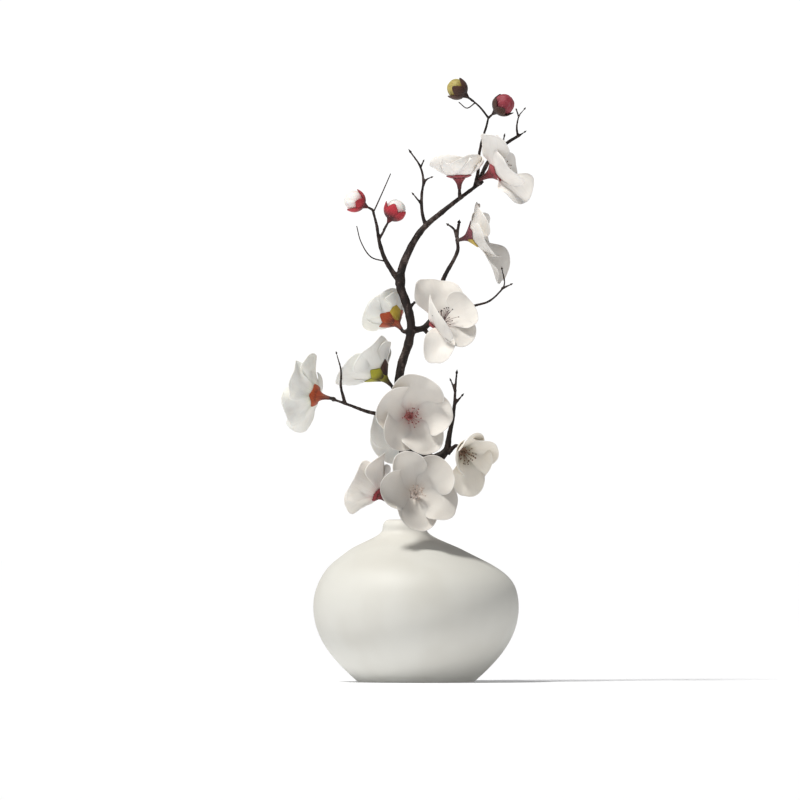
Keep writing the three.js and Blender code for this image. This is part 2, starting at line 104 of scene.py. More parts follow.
def addObject(bm, name):
    mesh = bpy.data.meshes.new(name)
    bm.to_mesh(mesh)
    made = bpy.data.objects.new(name, mesh)
    bpy.context.collection.objects.link(made)
    return made


def finishPiece(bm, node, materials, levels=0):
    # makes the object that stands for a node, and sets millimetres to metres
    bmesh.ops.scale(bm, vec=(0.001, 0.001, 0.001), verts=bm.verts)
    first, *rest = node.split("_")
    piece = addObject(bm, first + "".join(word.capitalize() for word in rest) + "Fine")
    bm.free()
    piece.data.shade_smooth()
    for material in materials:
        piece.data.materials.append(material)
    if levels:
        rounding = piece.modifiers.new("rounding", "SUBSURF")
        rounding.levels = rounding.render_levels = levels
    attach(piece, "root")
    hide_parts(node)


class Number:
    # a node's output that carries a number: + - * and ** on it add Math nodes
    def __init__(self, finish, socket):
        self.finish, self.socket = finish, socket

    def maths(self, operation, first, second):
        return self.finish.add("Math", {"operation": operation}, {0: first, 1: second})

    def __add__(self, other):
        return self.maths("ADD", self, other)

    def __sub__(self, other):
        return self.maths("SUBTRACT", self, other)

    def __rsub__(self, other):
        return self.maths("SUBTRACT", other, self)

    def __mul__(self, other):
        return self.maths("MULTIPLY", self, other)

    def __pow__(self, other):
        return self.maths("POWER", self, other)

    __radd__ = __add__


class Finish:
    # a material with one Principled shader, whose fixed sockets are set at once
    def __init__(self, name, fixed):
        self.material = bpy.data.materials.new(name)
        self.material.use_nodes = True
        self.tree = self.material.node_tree
        self.shader = self.tree.nodes["Principled BSDF"]
        for socket, value in fixed.items():
            self.shader.inputs[socket].default_value = value

    def plug(self, value, socket):
        if isinstance(value, Number):
            self.tree.links.new(value.socket, socket)
        else:
            socket.default_value = value

    def add(self, kind, settings, sockets, output=0):
        node = self.tree.nodes.new("ShaderNode" + kind)
        for name, value in settings.items():
            setattr(node, name, value)
        for name, value in sockets.items():
            self.plug(value, node.inputs[name])
        return Number(self, node.outputs[output])

    def mix(self, share, first, second):
        return self.add("Mix", {"data_type": "RGBA"}, {0: share, 6: first, 7: second}, 2)

    def grain(self, size, stretch=(1, 1, 1), detail=3, place="Object"):
        # noise whose features are about that many millimetres, or that share of the UV map
        spot = self.add("TexCoord", {}, {}, {"UV": 2, "Object": 3}[place])
        turned = self.add("Mapping", {}, {"Vector": spot, "Scale": stretch})
        scale = 1000 / size if place == "Object" else 1 / size
        return self.add("TexNoise", {}, {"Vector": turned, "Scale": scale, "Detail": detail})

    def between(self, value, low, high):
        # 0 below low, 1 above high, and smooth from one to the other
        return self.add(
            "MapRange", {"interpolation_type": "SMOOTHSTEP"}, {"Value": value, 1: low, 2: high}
        )

    def uv(self):
        # how far along the UV map a point is, and how far out from the map's middle
        spot = self.add("TexCoord", {}, {}, 2)
        along = self.add("SeparateXYZ", {}, {0: spot}, 0)
        across = self.add("SeparateXYZ", {}, {0: spot}, 1)
        x, y = along * 2 - 1, across * 2 - 1
        return along, (x * x + y * y) ** 0.5

    def bump(self, height, distance, strength):
        # distance is in millimetres
        normal = self.add(
            "Bump", {}, {"Height": height, "Distance": distance / 1000, "Strength": strength}
        )
        self.plug(normal, self.shader.inputs["Normal"])

    def colour(self, value):
        self.plug(value, self.shader.inputs["Base Color"])

    def roughness(self, value):
        self.plug(value, self.shader.inputs["Roughness"])


# the vase: one turned shell, with its neck drawn a little to the left
# it leans between leanFrom over the belly's middle and leanTo under the lip
vase = {
    "height": 97.5, "footRadius": 35.5, "bellyRadius": 61.8, "bellyHeight": 45,
    "neckRadius": 13.2, "lipRadius": 9, "neckLean": -6.9, "wall": 3.6, "floor": 5.6,
    "leanFrom": 13, "leanTo": 11.5, "around": 96, "perCurve": 12,
    "glaze": (0.68, 0.672, 0.625, 1), "shade": (0.635, 0.622, 0.57, 1),
}


def vaseProfile():
    height, belly, neck, floor = vase["height"], vase["bellyRadius"], vase["neckRadius"], vase["floor"]
    foot, middle, lip, wall = vase["footRadius"], vase["bellyHeight"], vase["lipRadius"], vase["wall"]
    mouth, inside = lip - wall / 2, belly - wall
    curves = [
        [(foot, 0.6), (foot + 10.5, 10), (belly, 24), (belly, middle)],
        [(belly, middle), (belly, 66), (47, 71), (33, 80)],
        [(33, 80), (21.4, 85.6), (neck, 88), (neck, height - 5.5)],
        [(neck, height - 5.5), (neck, height - 2), (lip + 2.5, height), (lip, height)],
        [(lip, height), (lip - 1, height), (mouth, height - 0.6), (mouth, height - 2)],
        [(mouth, height - 2), (mouth, 86), (20, 82.5), (31, 76.4)],
        [(31, 76.4), (45, 68), (inside, 63), (inside, middle)],
        [(inside, middle), (inside, 24), (42, floor), (22, floor)],
    ]
    points = [(0, 0), (foot - 2.4, 0), (foot - 0.6, 0.02)]
    for curve in curves:
        for step in range(vase["perCurve"]):
            points.append(bezier(curve, step / vase["perCurve"]))
    return [*points, (22, floor), (0, floor)]


def spun(profile, around):
    # a profile of radius and height turned about the upright axis
    bm = bmesh.new()
    verts = [bm.verts.new((point[0], 0, point[1])) for point in profile]
    edges = [bm.edges.new(pair) for pair in zip(verts, verts[1:])]
    bmesh.ops.spin(
        bm, geom=verts + edges, cent=(0, 0, 0), axis=(0, 0, 1), dvec=(0, 0, 0),
        angle=math.tau, steps=around, use_merge=True,
    )
    bmesh.ops.remove_doubles(bm, verts=bm.verts, dist=1e-4)
    bmesh.ops.recalc_face_normals(bm, faces=bm.faces)
    return bm


def makeVase():
    low, high = vase["bellyHeight"] + vase["leanFrom"], vase["height"] - vase["leanTo"]
    body = spun(vaseProfile(), vase["around"])
    reshape(body, lambda co: co + Vector((vase["neckLean"] * smooth(co.z, low, high), 0, 0)))
    finish = Finish("mattGlaze", {
        "Coat Weight": 0.08, "Coat Roughness": 0.45, "Specular IOR Level": 0.4,
    })
    cloud = finish.grain(38, detail=2)
    finish.colour(finish.mix(finish.between(cloud, 0.4, 0.72), vase["glaze"], vase["shade"]))
    finish.roughness(0.5 + finish.grain(6) * 0.12)
    finish.bump(finish.grain(1.1, detail=4) + finish.grain(14, detail=1) * 2, 0.05, 0.5)
    finishPiece(body, "vase", [finish.material], levels=1)


makeVase()
print("vase made")

# the branch: each limb's points, and its radius at its two ends
# a bud at the end of a bare twig is that many millimetres long
limbs = [
    {"radii": (3, 2.5), "path": [  # the stem, from the vase's floor to the fork
        (15, 7, 6.6), (7, 4, 50), (-5, 0, 95), (-6.4, 2, 121), (-8.2, 3.5, 145), (-10.8, 3.5, 172),
        (-9.2, 3, 188), (-4, 1.5, 205), (-2.9, 0.5, 214), (-5.4, -0.5, 226), (-9.4, -0.5, 237),
        (-10.2, 0, 245),
    ]},
    {"radii": (2.6, 0.95), "path": [  # its right fork, up to the bloom at the tip
        (-9.6, 0, 238), (-8.8, 0.6, 247), (-5, 2, 257), (3.6, 5, 271.4), (15.4, 7, 281.8),
        (29, 7.5, 292.4), (40.4, 5.8, 300.6),
    ]},
    {"radii": (1.7, 0.75), "path": [  # its left fork, up to the outer bud
        (-9.8, 0, 240), (-15, -1.5, 247.6), (-19, -2.5, 254.6), (-22, -3, 264), (-23.6, -4, 274),
        (-26.2, -5, 284),
    ]},
    {"radii": (0.9, 0.7), "path": [(-22.2, -3, 265.6), (-18.8, -2, 271.4)]},
    {"radii": (0.45, 0.3), "path": [
        (-18.6, -2.4, 252.4), (-27, -4, 255), (-33, -5, 264), (-35.6, -5.4, 273.6),
    ]},
    {"radii": (0.45, 0.3), "path": [(-25.6, -4.8, 281.6), (-20, -4, 294), (-15.2, -3, 305)]},
    {"radii": (1.15, 0.55), "bud": 3.4, "path": [  # the bare twig between the forks, and its spurs
        (6.2, 6, 272.6), (3.8, 5, 281), (3.4, 4, 292), (4.4, 3, 301), (2.4, 2, 309.6), (-3, 1, 317.6),
    ]},
    {"radii": (0.8, 0.45), "bud": 2.6, "path": [(3.4, 4, 286.6), (-1.4, 2.6, 292.4)]},
    {"radii": (0.85, 0.45), "bud": 2, "path": [(4.3, 3.2, 298), (6.2, 3.4, 301.4), (9, 3.6, 302.8)]},
    {"radii": (0.6, 0.4), "bud": 1.8, "path": [(2.7, 2.2, 308.6), (4.4, 2.6, 312.4)]},
    {"radii": (1.2, 0.65), "path": [  # the twig up to the two top buds, with a hair-thin shoot
        (35.4, 7.4, 297.2), (37.2, 11, 306), (37.6, 11.4, 314), (39.6, 9.6, 325), (42.4, 7.6, 334),
        (43.6, 7, 339.4),
    ]},
    {"radii": (0.65, 0.5), "path": [(43.6, 7, 338.4), (38.4, 7.4, 345), (34, 7.8, 349)]},
    {"radii": (0.4, 0.3), "bud": 1.2, "path": [(35.4, 7.6, 347.6), (30.6, 8.4, 344.4), (26.2, 9, 347.6)]},
    {"radii": (1.4, 0.95), "path": [  # the twig that passes behind the bloom at the tip
        (37.6, 7.4, 298.8), (40.6, 16, 307), (47, 21.4, 317.6), (54, 18.4, 323.2), (62.4, 11.4, 328.4),
    ]},
    {"radii": (0.75, 0.4), "bud": 2, "path": [
        (61, 11.4, 327.4), (60.6, 11, 334), (62, 10.6, 340), (65, 10.4, 343.8),
    ]},
    {"radii": (0.5, 0.4), "bud": 1.8, "path": [(61.8, 10.8, 339), (60.4, 11, 343.2)]},
    {"radii": (0.75, 0.42), "bud": 2.2, "path": [(61.4, 11.2, 327.6), (65, 11.4, 330)]},
    {"radii": (0.9, 0.45), "bud": 3, "path": [(51.8, 19.2, 321.8), (53, 18, 327.4)]},
    {"radii": (1.9, 0.9), "bud": 2.6, "path": [  # the limb behind the middle bloom
        (-3.4, 0.6, 210.6), (5.4, 3.6, 213), (12, 7, 223), (16.6, 9, 242), (22.8, 7, 253.6),
        (25.2, 5.4, 259.6), (24.6, 5, 267), (25.8, 4.6, 275.4),
    ]},
    {"radii": (0.9, 0.6), "bud": 2.4, "path": [(24.4, 5, 267), (22.6, 4.6, 272), (19.6, 4.4, 274.2)]},
    {"radii": (1.1, 0.45), "bud": 2, "path": [  # the thin twig out to the right
        (10.6, 5.4, 220), (22, 9, 222), (35, 9, 225.8), (43.6, 4, 228.4), (49.6, -1, 233.4),
        (53, -5, 238.6), (51.6, -7, 247.6),
    ]},
    {"radii": (0.85, 0.45), "bud": 2.4, "path": [(51.2, -3, 235.8), (56.6, -3.4, 238.4)]},
    {"radii": (1.6, 0.7), "bud": 2, "path": [(-4.6, -0.4, 224), (-1.2, -2.2, 227.4)]},
    {"radii": (1.5, 0.75), "path": [  # the long twig out to the left
        (-8.8, 3.2, 153), (-18, 1, 159.2), (-30.4, -2, 162.6), (-40, -3, 166.2), (-50.4, -3, 169.8),
    ]},
    {"radii": (1.1, 0.42), "bud": 2, "path": [
        (-42.4, -3, 166.8), (-45, -8.4, 177), (-45, -12.4, 187), (-47.6, -12.6, 197),
    ]},
    {"radii": (2.4, 0.6), "bud": 3.2, "path": [  # the low limb to the right, and the bare upright twig
        (-7.4, 3, 142), (1, 4.4, 139.4), (7.6, 4.6, 135.6), (14.8, 3.4, 134), (18.6, 2.5, 140),
        (20.4, 2, 150), (22.2, 1.6, 159), (23.2, 1.4, 168), (23.6, 1.4, 177), (24.4, 1.4, 185),
    ]},
    {"radii": (2.5, 0.9), "path": [
        (12.4, 3.8, 134.2), (18, 2.8, 138.6), (20.1, 2.2, 149), (22, 1.8, 158),
    ]},
    {"radii": (0.9, 0.45), "bud": 2.6, "path": [(23.6, 1.4, 174.6), (21, 1, 180.6)]},
    {"radii": (0.95, 0.5), "bud": 2.8, "path": [(23.2, 1.4, 166.8), (27.4, 2, 171.6)]},
    {"radii": (1.5, 0.6), "bud": 2.6, "path": [(-6.2, 2.4, 118.8), (-12.2, -1.4, 122)]},
]

# the first knot's place, the gaps between knots and their heights are drawn between two values
bark = {
    "ring": 1.1, "around": 14, "perSpan": 14, "fusedAbove": 0.7, "voxel": 0.42, "relief": 0.08,
    "collar": 0.22, "firstKnot": (3, 6), "knotGap": (6, 13), "knot": (0.03, 0.13), "wobble": 0.1,
    "wobbleSize": 5, "budSwell": 1.25, "smoothings": 3,
    "dark": (0.01, 0.0065, 0.0055, 1), "brown": (0.036, 0.02, 0.015, 1), "grey": (0.17, 0.145, 0.135, 1),
}


def throughPoints(path, perSpan):
    # a curve through the points whose speed suits uneven spacing
    path = [Vector(point) for point in path]
    path = [2 * path[0] - path[1], *path, 2 * path[-1] - path[-2]]
    made = []
    for four in zip(path, path[1:], path[2:], path[3:]):
        knots = [0]
        for a, b in zip(four, four[1:]):
            knots.append(knots[-1] + math.sqrt((b - a).length))
        for step in range(perSpan):
            at = lerp(knots[1], knots[2], step / perSpan)
            row = [
                a.lerp(b, (at - low) / (high - low))
                for a, b, low, high in zip(four, four[1:], knots, knots[1:])
            ]
            row = [
                a.lerp(b, (at - low) / (high - low))
                for a, b, low, high in zip(row, row[1:], knots, knots[2:])
            ]
            made.append(row[0].lerp(row[1], (at - knots[1]) / (knots[2] - knots[1])))
    return [*made, path[-2]]


def spacedOut(points, gap):
    # the same curve with its points evenly spaced, and its length
    lengths = [0]
    for a, b in zip(points, points[1:]):
        lengths.append(lengths[-1] + (b - a).length)
    count = max(2, round(lengths[-1] / gap))
    made, here = [], 0
    for step in range(count + 1):
        distance = lengths[-1] * step / count
        while here < len(points) - 2 and lengths[here + 1] < distance:
            here += 1
        share = (distance - lengths[here]) / (lengths[here + 1] - lengths[here])
        made.append(points[here].lerp(points[here + 1], share))
    return made, lengths[-1]


def limbTube(limb, seed):
    # a tube with a swollen root and low knots, carried along the limb's curve
    draw = random.Random(seed)
    centre, length = spacedOut(throughPoints(limb["path"], bark["perSpan"]), bark["ring"])
    rings = len(centre) - 1
    turn = (centre[1] - centre[0]).orthogonal().normalized()
    frames = []
    for i in range(rings + 1):
        ahead = (centre[min(i + 1, rings)] - centre[max(i - 1, 0)]).normalized()
        turn = (turn - ahead * turn.dot(ahead)).normalized()
        frames.append((turn, ahead.cross(turn)))
    knots = []
    spot = draw.uniform(*bark["firstKnot"])
    while spot < length - 2:
        knots.append((spot, draw.uniform(*bark["knot"])))
        spot += draw.uniform(*bark["knotGap"])
    bm = unitTube(bark["around"], rings - 1)
    first, last = limb["radii"]

    def rule(co):
        ring = round((co.z + 0.5) * rings)
        share, distance = ring / rings, length * ring / rings
        collar = 1 + bark["collar"] * math.exp(-distance / (1.4 * first))
        radius = lerp(first, last, share) * collar
        for spot, height in knots:
            radius *= 1 + height * math.exp(-(((distance - spot) / (0.5 + radius * 0.5)) ** 2))
        x, y = frames[ring]
        out = x * co.x + y * co.y
        wobble = noise.noise(centre[ring] / bark["wobbleSize"] + out)
        return centre[ring] + out * radius * (1 + bark["wobble"] * wobble)

    reshape(bm, rule)
    bmesh.ops.recalc_face_normals(bm, faces=bm.faces)
    return bm, centre


def twigBud(tip, behind, length, radius):
    # a small pointed bud that sits on a twig's end
    bm = bmesh.new()
    bmesh.ops.create_uvsphere(bm, u_segments=10, v_segments=8, radius=1)
    reach = length / 2
    upright = (tip - behind).to_track_quat("Z", "Y")

    def rule(co):
        waist = radius * lerp(1.2, 0.3, smooth(co.z, -0.5, 0.9))
        return tip + upright @ Vector((co.x * waist, co.y * waist, (co.z + 0.7) * reach))

    reshape(bm, rule)
    return bm


def fuse(bm, voxel):
    # one skin over everything in the bmesh
    carrier = addObject(bm, "limbs")
    skin = carrier.modifiers.new("skin", "REMESH")
    skin.mode, skin.voxel_size = "VOXEL", voxel
    fused = bpy.data.meshes.new_from_object(
        carrier.evaluated_get(bpy.context.evaluated_depsgraph_get())
    )
    bm.clear()
    bm.from_mesh(fused)
    bpy.data.meshes.remove(fused)
    bpy.data.meshes.remove(carrier.data)


# the blooms: where each sits and faces, how far its petals stand up at the claw and the tip,
# and each petal's place round it in degrees, where 90 is up
blooms = [
    {
        "name": "tip_bloom", "at": (45, 1, 305), "faces": (0.88, -0.06, 0.47), "root": (38.8, 6, 299.4),
        "open": (44, 12), "calyx": {"reach": 7.4}, "petal": "litCream", "sepal": "rose", "thread": "brown",
        "petals": [
            (126, {"open": (34, 6), "length": 1.12, "width": 0.72, "roll": 42}), (50, {"length": 0.9}),
            (-24, {}), (-94, {"open": (36, 4), "length": 1.02, "width": 1.1, "roll": 34}),
            (-166, {"open": (50, 24), "length": 0.86}),
        ],
    },
    {
        "name": "top_bloom", "at": (25.8, -2, 302.8), "faces": (-0.04, 0.02, 1), "root": (27, 7.4, 291),
        "open": (8, 88), "calyx": {"depth": 5.4, "reach": 9.4}, "petal": "litCream", "sepal": "rose",
        "thread": "brown", "reach": 0.6,
        "petals": [
            (18, {"length": 0.74}), (90, {"length": 0.76}), (162, {"length": 0.8}),
            (232, {"length": 0.82, "width": 1.1}), (306, {"length": 0.8, "width": 1.1}),
        ],
    },
    {
        "name": "right_bloom", "at": (31.4, 1.6, 267), "faces": (0.93, -0.16, 0.3),
        "root": (25, 5, 265.4), "open": (44, 14), "calyx": {"depth": 3.4, "reach": 8.4}, "petal": "white",
        "sepal": "maroon", "thread": "dark", "odd": (1, "mustard"),
        "petals": [
            (130, {"open": (48, 30), "length": 0.86, "width": 1.06}), (58, {"length": 0.76}),
            (-10, {"length": 0.74}), (-68, {"open": (37, -8), "length": 1.4, "width": 1.16}),
            (216, {"open": (40, 28), "length": 0.96, "width": 1.04}),
        ],
    },
    {
        "name": "middle_bloom", "at": (14.6, -7, 213.4), "faces": (0.2, -0.68, 0.7),
        "root": (4.6, 3, 212), "open": (42, 6), "petal": "white", "sepal": "rose", "thread": "dark",
        "reach": 1.2,
        "petals": [
            (94, {"length": 1.2, "width": 1.2}), (18, {"open": (38, 6), "length": 0.92}),
            (-50, {"open": (20, -14), "length": 0.83, "width": 0.84}),
            (-106, {"open": (12, -40), "length": 1.1, "width": 0.7}),
            (-130, {"open": (34, 100), "length": 0.93, "width": 1.2, "roll": -34}),
        ],
    },
    {
        "name": "shaded_bloom", "at": (-12, 6, 215.6), "faces": (-0.52, 0.55, 0.62),
        "root": (-4.4, 0.6, 210.6), "open": (49, 38), "calyx": {"depth": 4.6, "reach": 10},
        "petal": "litGreen", "sepal": "orange", "thread": "brown", "odd": (0, "mustard"),
        "petals": [
            (44, {"length": 0.78}), (116, {"length": 0.68}), (188, {"length": 0.62}),
            (260, {"length": 0.64}), (-28, {"length": 0.78}),
        ],
    },
    {
        "name": "left_bloom", "at": (-19.4, 2, 182.6), "faces": (-0.68, 0.26, 0.7),
        "root": (-10.4, 3.4, 176), "open": (48, 26), "roll": 6, "calyx": {"depth": 4.8, "reach": 10},
        "petal": "litGreen", "sepal": "olive", "thread": "brown", "odd": (0, "brown"),
        "petals": [
            (36, {"length": 0.98, "width": 1.12}), (-42, {"length": 1.14, "width": 1.16}),
            (-108, {"length": 0.96}), (180, {"length": 0.8}), (108, {"length": 0.84}),
        ],
    },
    {
        "name": "far_left_bloom", "at": (-58.6, -2, 171.6), "faces": (-0.88, 0.44, 0.16),
        "root": (-49.4, -3, 169.6), "open": (38, 8), "calyx": {"reach": 6.4}, "petal": "litGreen",
        "sepal": "orange", "thread": "brown",
        "petals": [
            (108, {"length": 1.02}), (36, {}), (-36, {}), (-108, {"length": 1.04}),
            (180, {"length": 0.9}),
        ],
    },
    {
        "name": "large_bloom", "at": (-4.4, -11, 159.6), "faces": (0.26, -0.96, -0.02),
        "root": (-8.8, 2.6, 154), "open": (44, 16), "roll": -13, "petal": "warm", "sepal": "rose",
        "thread": "rosy",
        "petals": [
            (84, {"length": 1.12, "width": 1.2}), (8, {"length": 1.04}),
            (-64, {"length": 1.1, "curl": 1}), (-134, {"length": 1.02}),
            (158, {"length": 1.04, "width": 1.1}),
        ],
    },
    {
        "name": "back_bloom", "at": (-5.6, 16, 149.6), "faces": (-0.5, 0.86, 0.04),
        "root": (-8.2, 4, 147), "open": (44, 10), "petal": "litGreen", "sepal": "orange", "thread": "brown",
        "petals": [
            (90, {"length": 0.88}), (18, {"length": 0.84}), (-54, {"length": 0.84}),
            (-126, {"length": 0.88}), (162, {"length": 0.84}),
        ],
    },
    {
        "name": "mouth_bloom", "at": (-1, -22, 112.8), "faces": (0.26, -0.94, 0.2),
        "root": (-6, 1.2, 112), "open": (36, 0), "roll": -12, "calyx": {"reach": 10.4}, "petal": "oat",
        "sepal": "rose", "thread": "pale", "reach": 0.8,
        "petals": [
            (110, {"length": 1.02, "width": 0.8}), (42, {"length": 1.04}), (-25, {"length": 1.04}),
            (-98, {"length": 0.98, "curl": 1.4}),
            (180, {"open": (42, 16), "length": 1.14, "width": 0.9, "curl": 2}),
        ],
    },
    {
        "name": "low_left_bloom", "at": (-22, 5, 112), "faces": (-0.72, 0.36, 0.56),
        "root": (-7.4, 1, 104), "open": (36, 16), "calyx": {"depth": 3.2, "topRadius": 2.6, "reach": 4.4},
        "petal": "litCream", "sepal": "rose", "thread": "brown",
        "petals": [
            (82, {"length": 1}), (10, {"length": 0.96}), (-62, {"length": 0.8}), (-134, {"length": 0.62}),
            (154, {"length": 0.74}),
        ],
    },
    {
        "name": "low_right_bloom", "at": (27.8, -7, 138.6), "faces": (0.4, -0.82, -0.34),
        "root": (19, 2.4, 137), "open": (56, 34), "calyx": {"depth": 3.6, "reach": 6.6}, "petal": "litBeige",
        "sepal": "rose", "thread": "brown",
        "petals": [
            (104, {"open": (52, 44), "length": 1, "width": 0.7}), (30, {"length": 0.9, "width": 0.88}),
            (-42, {"length": 0.8, "width": 0.84}),
            (-92, {"open": (54, 14), "length": 1.1, "width": 0.78}),
            (176, {"open": (60, 56), "length": 0.84, "width": 0.84}),
        ],
    },
]

buds = [
    {"name": "outer_bud", "at": (-37, -7, 288.8), "root": (-25.8, -5, 283.2), "radius": 5.9,
     "ball": "white", "sepal": "red", "wrap": 98},
    {"name": "inner_bud", "at": (-12.4, 1.6, 283.4), "root": (-19.4, -2.2, 271), "radius": 6,
     "ball": "white", "sepal": "red", "wrap": 112},
    {"name": "olive_bud", "at": (24.4, 9, 356.2), "root": (34.6, 7.7, 348.4), "radius": 5.7,
     "ball": "olive", "sepal": "brown", "wrap": 112},
    {"name": "crimson_bud", "at": (52.8, 3.4, 346.6), "root": (43.4, 7, 338.6), "radius": 6.1,
     "ball": "crimson", "sepal": "brown", "wrap": 104},
]

calyxForm = {
    "stalkRadius": 1.15, "topRadius": 4, "depth": 6.2, "drop": 1.5, "reach": 8.4,
    "plate": (12, 8), "length": 8, "width": 8.4, "middle": 0.5, "rim": 0.4, "clawRadius": 1.7,
    "claw": 0.6, "cup": 0.35, "roll": 4, "point": 0.55, "crease": 0, "curl": 0, "own": (1.1, 1.2),
    "layer": 0, "under": 0.75,
}
stalkForm = {"bow": 0.45, "sunk": 0.5, "gap": 0.3, "bloom": (1.3, 1), "bud": (0.75, 0.75)}
# stray, width and lift are drawn at random between their two values
budForm = {
    "fold": 0.05, "clearance": 0.25, "thickness": 0.5, "foot": 0.15, "neck": 1.7, "petals": 5,
    "twist": 0.7, "plate": (12, 8), "start": 0.32, "stray": (-14, 10), "width": (0.56, 0.66),
    "lift": (0.2, 0.7), "taper": 0.45, "shingle": 0.25,
}


def budFacing(bud):
    return Vector(bud["at"]) - Vector(bud["root"])


def budBack(bud):
    return (bud["radius"] * (1 + budForm["fold"]) + budForm["neck"]) * (1 + budForm["foot"])


def stalk(at, root, faces, back, radii):
    # from the twig to the calyx, bowed so that it comes in straight, with its end sunk in
    facing = Vector(faces).normalized()
    end = Vector(at) - facing * back
    bow = end - facing * stalkForm["bow"] * (end - Vector(root)).length
    return {"path": [root, bow, end + facing * stalkForm["sunk"]], "radii": radii}


def makeBranch():
    thick, thin = bmesh.new(), bmesh.new()
    stalks = []
    for bloom in blooms:
        depth = bloom.get("calyx", {}).get("depth", calyxForm["depth"])
        back = depth + calyxForm["drop"] + stalkForm["gap"]
        stalks.append(stalk(bloom["at"], bloom["root"], bloom["faces"], back, stalkForm["bloom"]))
    for bud in buds:
        back = budBack(bud) + stalkForm["gap"]
        stalks.append(stalk(bud["at"], bud["root"], budFacing(bud), back, stalkForm["bud"]))
    for i, limb in enumerate(limbs + stalks):
        tube, centre = limbTube(limb, i)
        joinInto(thick if limb["radii"][0] > bark["fusedAbove"] else thin, tube)
        if "bud" in limb:
            radius = limb["radii"][1] * bark["budSwell"]
            joinInto(thin, twigBud(centre[-1], centre[-2], limb["bud"], radius))
    fuse(thick, bark["voxel"])
    for turn in range(bark["smoothings"]):
        bmesh.ops.smooth_vert(
            thick, verts=thick.verts, factor=0.5, use_axis_x=True, use_axis_y=True, use_axis_z=True
        )
    thick.normal_update()
    for vert in thick.verts:
        ridge = noise.noise(Vector((vert.co.x * 1.1, vert.co.y * 1.1, vert.co.z * 0.35)))
        pit = noise.noise(vert.co * 0.9 + Vector((7, 3, 1)))
        vert.co += vert.normal * bark["relief"] * (ridge + 0.6 * pit + 0.35)
    joinInto(thick, thin)

    finish = Finish("darkBark", {"Specular IOR Level": 0.32})
    patch = finish.grain(3.4, (1, 1, 0.45), 4)
    ring = finish.grain(1.2, (0.35, 0.35, 1.6), 3)
    fleck = finish.grain(0.7, (1, 1, 0.6), 2)
    body = finish.mix(finish.between(patch, 0.36, 0.66), bark["dark"], bark["brown"])
    # grey where the bump stands highest: partly a painted highlight along the raised ridges, partly the
    # bark's own grey patches; the pale flecks are the bark's own
    ridgeHighlightAndPatches = finish.between(patch * 0.6 + ring * 0.4, 0.53, 0.62) * 0.36
    finish.colour(finish.mix(ridgeHighlightAndPatches + finish.between(fleck, 0.62, 0.7) * 0.14, body, bark["grey"]))
    finish.roughness(0.5 + patch * 0.35)
    finish.bump(patch * 0.6 + ring * 0.5 + fleck * 0.25, 0.3, 0.8)
    finishPiece(thick, "branch", [finish.material])


makeBranch()
print("branch made")

petalForm = {
    "plate": (16, 14), "length": 24.5, "width": 29.5, "middle": 0.5, "rim": 0.54, "clawRadius": 2.1,
    "claw": 0.42, "cup": 0.75, "roll": 13, "point": 0, "crease": 0.25, "ripple": 1.4, "curl": 0.3,
    "own": (0.12, 0.62), "layer": 0.3, "under": 0,
}
# what petals and sepals share: waves and a notch in the outline, as shares of its size, how much a
# cupped blade draws in, and the opening in degrees past which it rolls more
bladeForm = {
    "wave": 0.018, "notch": 0.03, "notchWidth": 0.22, "drawIn": 0.12, "steep": 46, "creaseWidth": 1.3,
}
# the grey line colour is painted shade and the rim colour a painted highlight along the petal's edge; vein
# is the petals' own faint streaks
petalMarks = {"vein": (0.6, 0.54, 0.51, 1), "line": (0.46, 0.42, 0.4, 1), "rim": (0.9, 0.885, 0.86, 1)}
# each tone is one petal white made darker or lighter for how its bloom is lit, which is painted shade and
# painted light: darkest for the mouth bloom, then the large bloom; lightest for the left-hand and back
# blooms, then the tip, top, low left and low right blooms; the low right bloom's dark olive throat is
# painted shade in its bowl
petalTones = {
    "white": {"body": (0.8, 0.765, 0.715, 1), "throat": (0.72, 0.6, 0.56, 1), "glow": 0.2},
    "warm": {"body": (0.715, 0.68, 0.63, 1), "throat": (0.7, 0.55, 0.5, 1), "glow": 0.2},
    "oat": {"body": (0.62, 0.59, 0.545, 1), "throat": (0.62, 0.56, 0.5, 1), "glow": 0.2},
    "litCream": {"body": (0.93, 0.89, 0.84, 1), "throat": (0.78, 0.56, 0.53, 1), "glow": 0.25},
    "litGreen": {"body": (0.95, 0.945, 0.885, 1), "throat": (0.68, 0.7, 0.45, 1), "glow": 0.35},
    "litBeige": {"body": (0.88, 0.83, 0.745, 1), "throat": (0.42, 0.4, 0.28, 1), "glow": 0.2},
}


def bladePlate(cuts):
    # a square plate whose faces are at 1 and -1; its UV map is the disc that it is drawn into
    bm = bmesh.new()
    bmesh.ops.create_grid(bm, x_segments=cuts[0], y_segments=cuts[1], size=1)
    bmesh.ops.solidify(bm, geom=bm.faces[:], thickness=2)
    lowest = min(vert.co.z for vert in bm.verts)
    bmesh.ops.translate(bm, vec=(0, 0, -1 - lowest), verts=bm.verts)
    bmesh.ops.recalc_face_normals(bm, faces=bm.faces)
    mapUv(bm, lambda co: [(1 + value) / 2 for value in onDisc(co)])
    return bm


def onDisc(co):
    # the point of a round disc that a point of the square plate goes to
    return co.x * math.sqrt(1 - co.y ** 2 / 2), co.y * math.sqrt(1 - co.x ** 2 / 2)


def bowlOf(form, opening):
    # how high the bowl of a bloom stands at a distance from its axis, and how steep it is there
    start, end = (math.radians(angle) for angle in opening)
    bend = ((end - start) or 1e-6) / form["length"]

    def height(distance):
        lean = min(math.sin(start) + (distance - form["clawRadius"]) * bend, 0.995)
        slope = math.asin(lean)
        return (math.cos(start) - math.cos(slope)) / bend, slope

    return height


